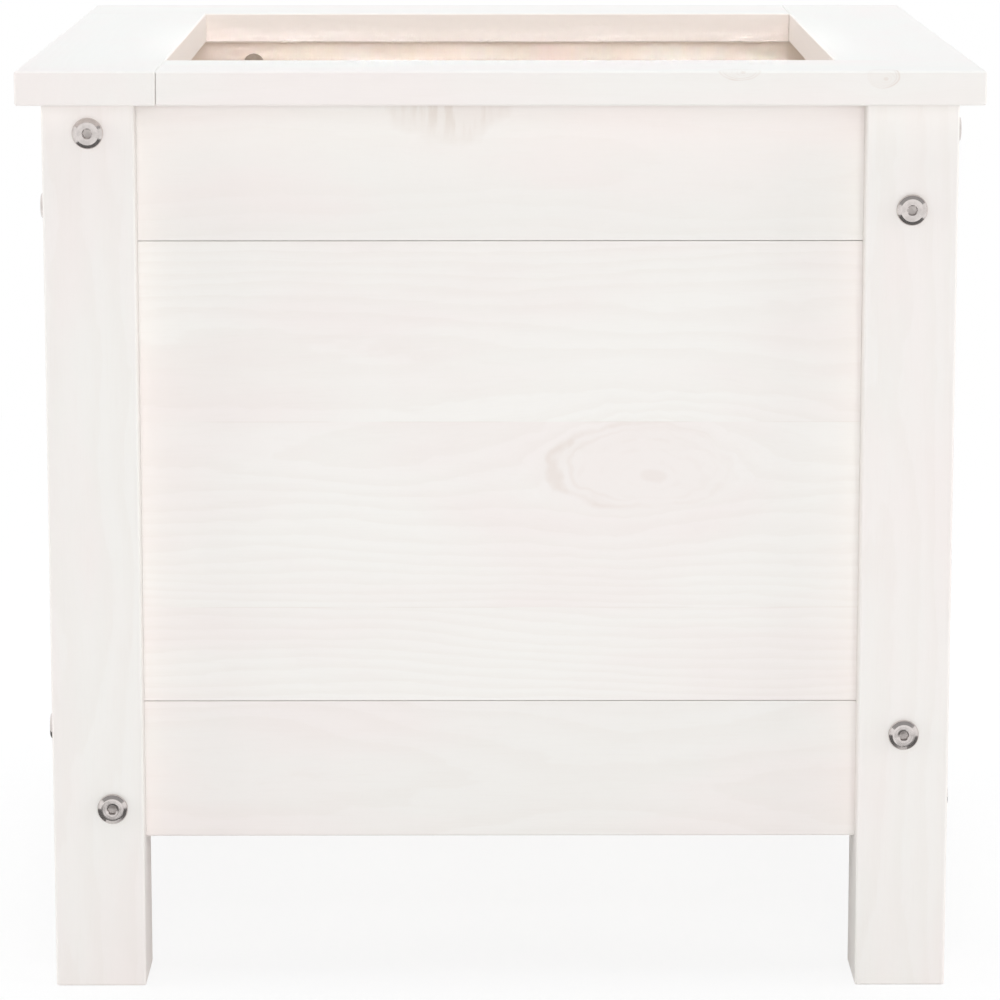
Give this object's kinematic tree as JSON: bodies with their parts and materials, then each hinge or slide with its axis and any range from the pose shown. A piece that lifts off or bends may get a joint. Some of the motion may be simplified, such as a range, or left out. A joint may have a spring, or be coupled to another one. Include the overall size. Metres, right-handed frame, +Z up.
{
  "type": "planter",
  "caption": "Square floor planter of white painted pine: corner posts as legs, boarded walls set back between them, a flat overhanging rim and an open mouth.",
  "frame": {"origin": "middle of the footprint, on the ground", "axes": "+Z up, square to the ground; the front wall faces -Y, and +X is to the right seen from the front"},
  "size_m": [0.4, 0.4, 0.392],
  "materials": {
    "painted_pine": "thin matt white paint on planed pine, with the grain and knots showing faintly",
    "floor_pine": "planed pine with a thin wash of the same paint",
    "beech_dowel": "bare beech",
    "nickel_steel": "bright nickel plate",
    "zinc_steel": "dull zinc plate"
  },
  "bodies": {
    "root": {"post_front_left": "painted_pine", "post_front_right": "painted_pine", "post_back_right": "painted_pine", "post_back_left": "painted_pine", "top_rail_front": "painted_pine", "top_rail_right": "painted_pine", "top_rail_back": "painted_pine", "top_rail_left": "painted_pine", "panel_front": "painted_pine", "panel_right": "painted_pine", "panel_back": "painted_pine", "panel_left": "painted_pine", "bottom_rail_front": "painted_pine", "bottom_rail_right": "painted_pine", "bottom_rail_back": "painted_pine", "bottom_rail_left": "painted_pine", "rim_board_front": "painted_pine", "rim_board_right": "painted_pine", "rim_board_back": "painted_pine", "rim_board_left": "painted_pine", "rim_dowel_front": "beech_dowel", "rim_dowel_right": "beech_dowel", "rim_dowel_back": "beech_dowel", "rim_dowel_left": "beech_dowel", "bolt_front_top_left": "nickel_steel", "bolt_front_top_right": "nickel_steel", "bolt_front_bottom_left": "nickel_steel", "bolt_front_bottom_right": "nickel_steel", "bolt_right_top_left": "nickel_steel", "bolt_right_top_right": "nickel_steel", "bolt_right_bottom_left": "nickel_steel", "bolt_right_bottom_right": "nickel_steel", "bolt_back_top_left": "nickel_steel", "bolt_back_top_right": "nickel_steel", "bolt_back_bottom_left": "nickel_steel", "bolt_back_bottom_right": "nickel_steel", "bolt_left_top_left": "nickel_steel", "bolt_left_top_right": "nickel_steel", "bolt_left_bottom_left": "nickel_steel", "bolt_left_bottom_right": "nickel_steel", "barrel_nut_front_top_left": "zinc_steel", "barrel_nut_front_top_right": "zinc_steel", "barrel_nut_front_bottom_left": "zinc_steel", "barrel_nut_front_bottom_right": "zinc_steel", "barrel_nut_right_top_left": "zinc_steel", "barrel_nut_right_top_right": "zinc_steel", "barrel_nut_right_bottom_left": "zinc_steel", "barrel_nut_right_bottom_right": "zinc_steel", "barrel_nut_back_top_left": "zinc_steel", "barrel_nut_back_top_right": "zinc_steel", "barrel_nut_back_bottom_left": "zinc_steel", "barrel_nut_back_bottom_right": "zinc_steel", "barrel_nut_left_top_left": "zinc_steel", "barrel_nut_left_top_right": "zinc_steel", "barrel_nut_left_bottom_left": "zinc_steel", "barrel_nut_left_bottom_right": "zinc_steel", "floor_slat_1": "floor_pine", "floor_slat_2": "floor_pine", "floor_slat_3": "floor_pine", "floor_slat_4": "floor_pine"}
  },
  "joints": []
}
